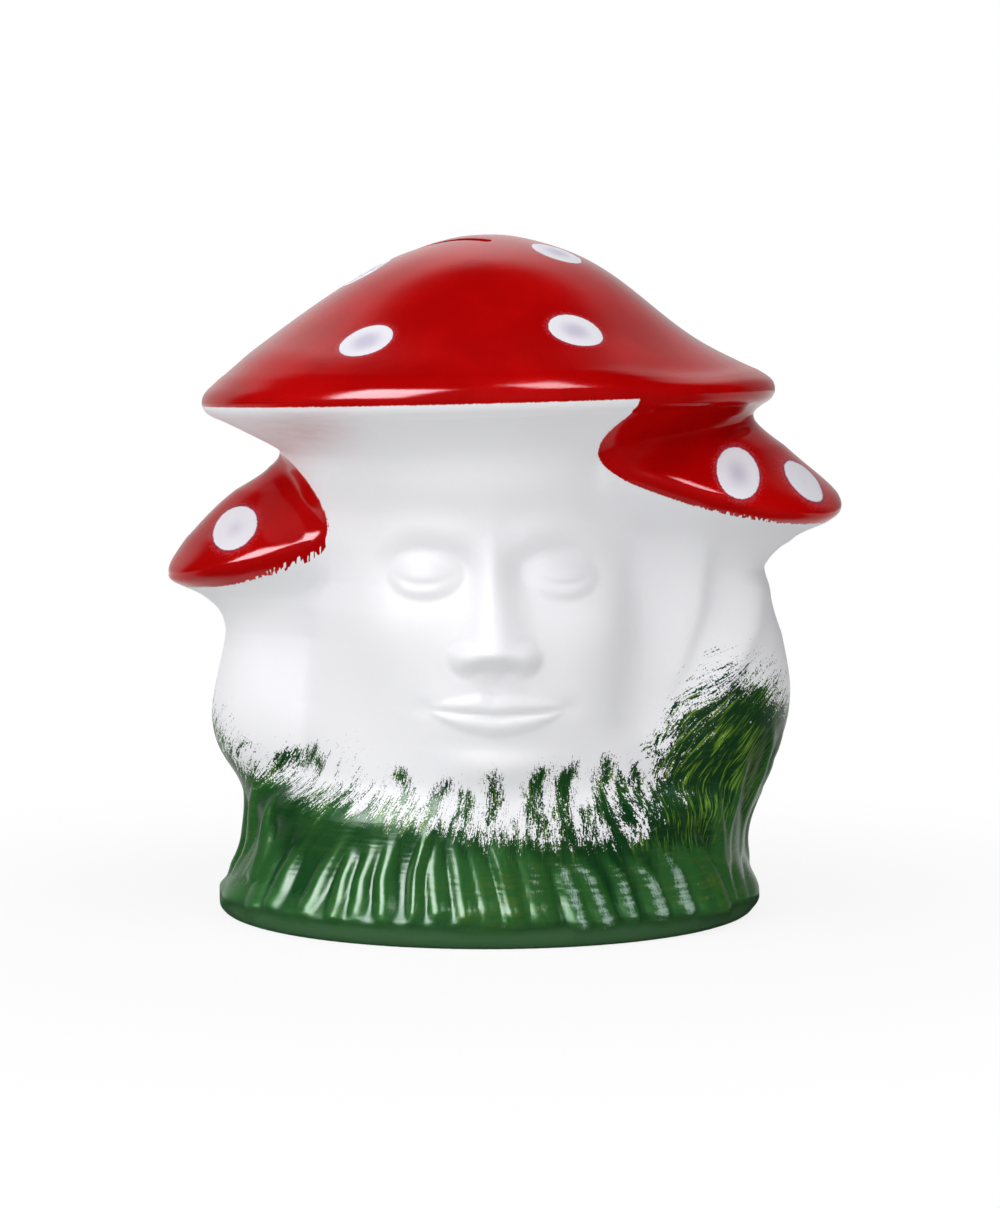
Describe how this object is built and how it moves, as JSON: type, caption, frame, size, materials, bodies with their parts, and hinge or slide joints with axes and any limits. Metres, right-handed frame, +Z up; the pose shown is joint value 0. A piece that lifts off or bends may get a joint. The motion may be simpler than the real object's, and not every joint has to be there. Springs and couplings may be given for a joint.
{
  "type": "ceramic mushroom money bank",
  "caption": "Hollow ceramic ornament: a big spotted mushroom with a calm face on its stem and small mushrooms beside it, on a grass mound, with a coin slot in the crown and a bung in the base.",
  "frame": {"origin": "centre of the foot, on the plane of the table", "axes": "+Z up, -Y the way the face looks, +X to the right as seen from the front"},
  "size_m": [0.201, 0.1714, 0.2023],
  "materials": {
    "white_enamel": "satin",
    "red_enamel": "gloss",
    "green_enamel": "gloss",
    "bare_clay": "matte",
    "stopper_rubber": "matte"
  },
  "bodies": {
    "bank": {"mound_shell": "green_enamel", "base_plate": "bare_clay", "stem_shell": "white_enamel", "main_cap": "red_enamel", "left_stalk": "white_enamel", "left_cap": "red_enamel", "right_stalk": "white_enamel", "right_cap": "red_enamel", "face_relief": "white_enamel"},
    "stopper": {"stopper": "stopper_rubber"}
  },
  "joints": [
    {"name": "stopper_pull", "type": "slide", "parent": "bank", "child": "stopper", "axis": [0, 0, -1], "range_m": [0, 0.025]}
  ]
}
